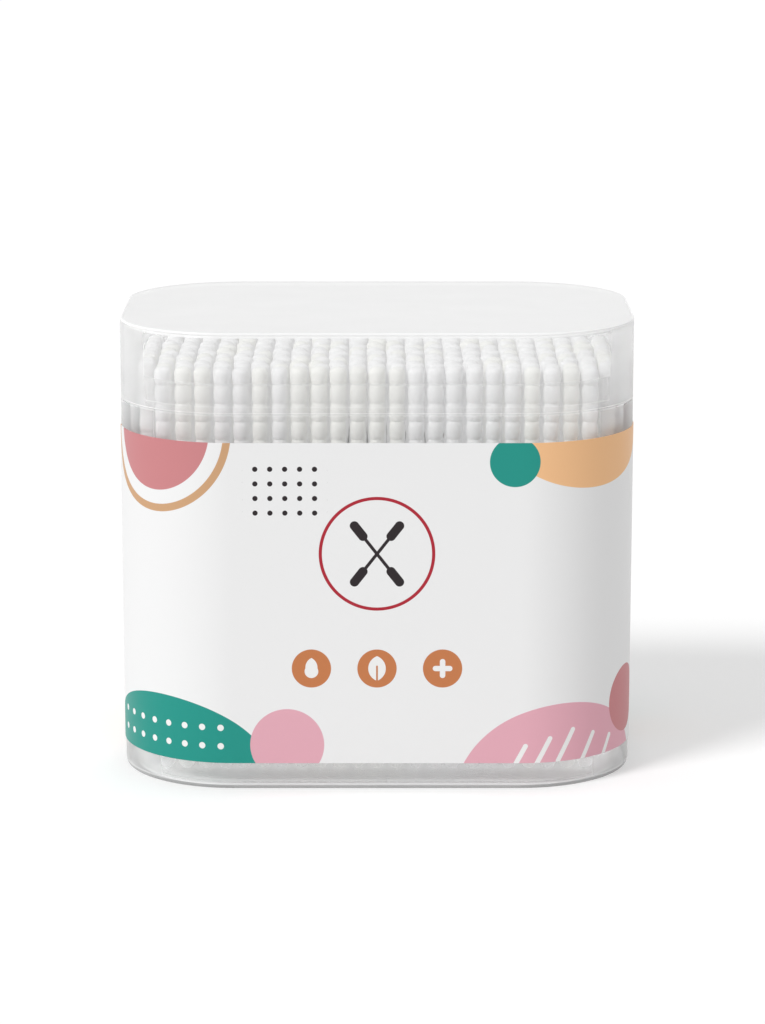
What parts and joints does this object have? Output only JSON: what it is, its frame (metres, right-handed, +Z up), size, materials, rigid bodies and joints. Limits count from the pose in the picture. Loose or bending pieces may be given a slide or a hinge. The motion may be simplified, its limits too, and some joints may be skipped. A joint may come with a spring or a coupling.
{
  "type": "cotton swab box",
  "caption": "Clear moulded box with rounded corners, a flush lift-off lid and a printed wrap-round label, packed with upright two-headed cotton swabs.",
  "frame": {"origin": "on the surface the box stands on, under the middle of the tub", "axes": "+X along the long side, +Y towards the back, where the label's seam is, +Z up"},
  "size_m": [0.0956, 0.0644, 0.085],
  "materials": {
    "clear_tub": "clear moulded plastic",
    "clear_lid": "clear moulded plastic, faintly frosted",
    "printed_film": "satin printed film",
    "cotton": "wound cotton heads on white sticks"
  },
  "bodies": {
    "box": {"label": "printed_film", "swab_row_01": "cotton", "swab_row_02": "cotton", "swab_row_03": "cotton", "swab_row_04": "cotton", "swab_row_05": "cotton", "swab_row_06": "cotton", "swab_row_07": "cotton", "swab_row_08": "cotton", "swab_row_09": "cotton", "swab_row_10": "cotton", "swab_row_11": "cotton", "swab_row_12": "cotton", "swab_row_13": "cotton", "tub": "clear_tub"},
    "lid": {"lid": "clear_lid"}
  },
  "joints": [
    {"name": "lid_lift", "type": "slide", "parent": "box", "child": "lid", "axis": [0, 0, 1], "range_m": [0, 0.03]}
  ]
}
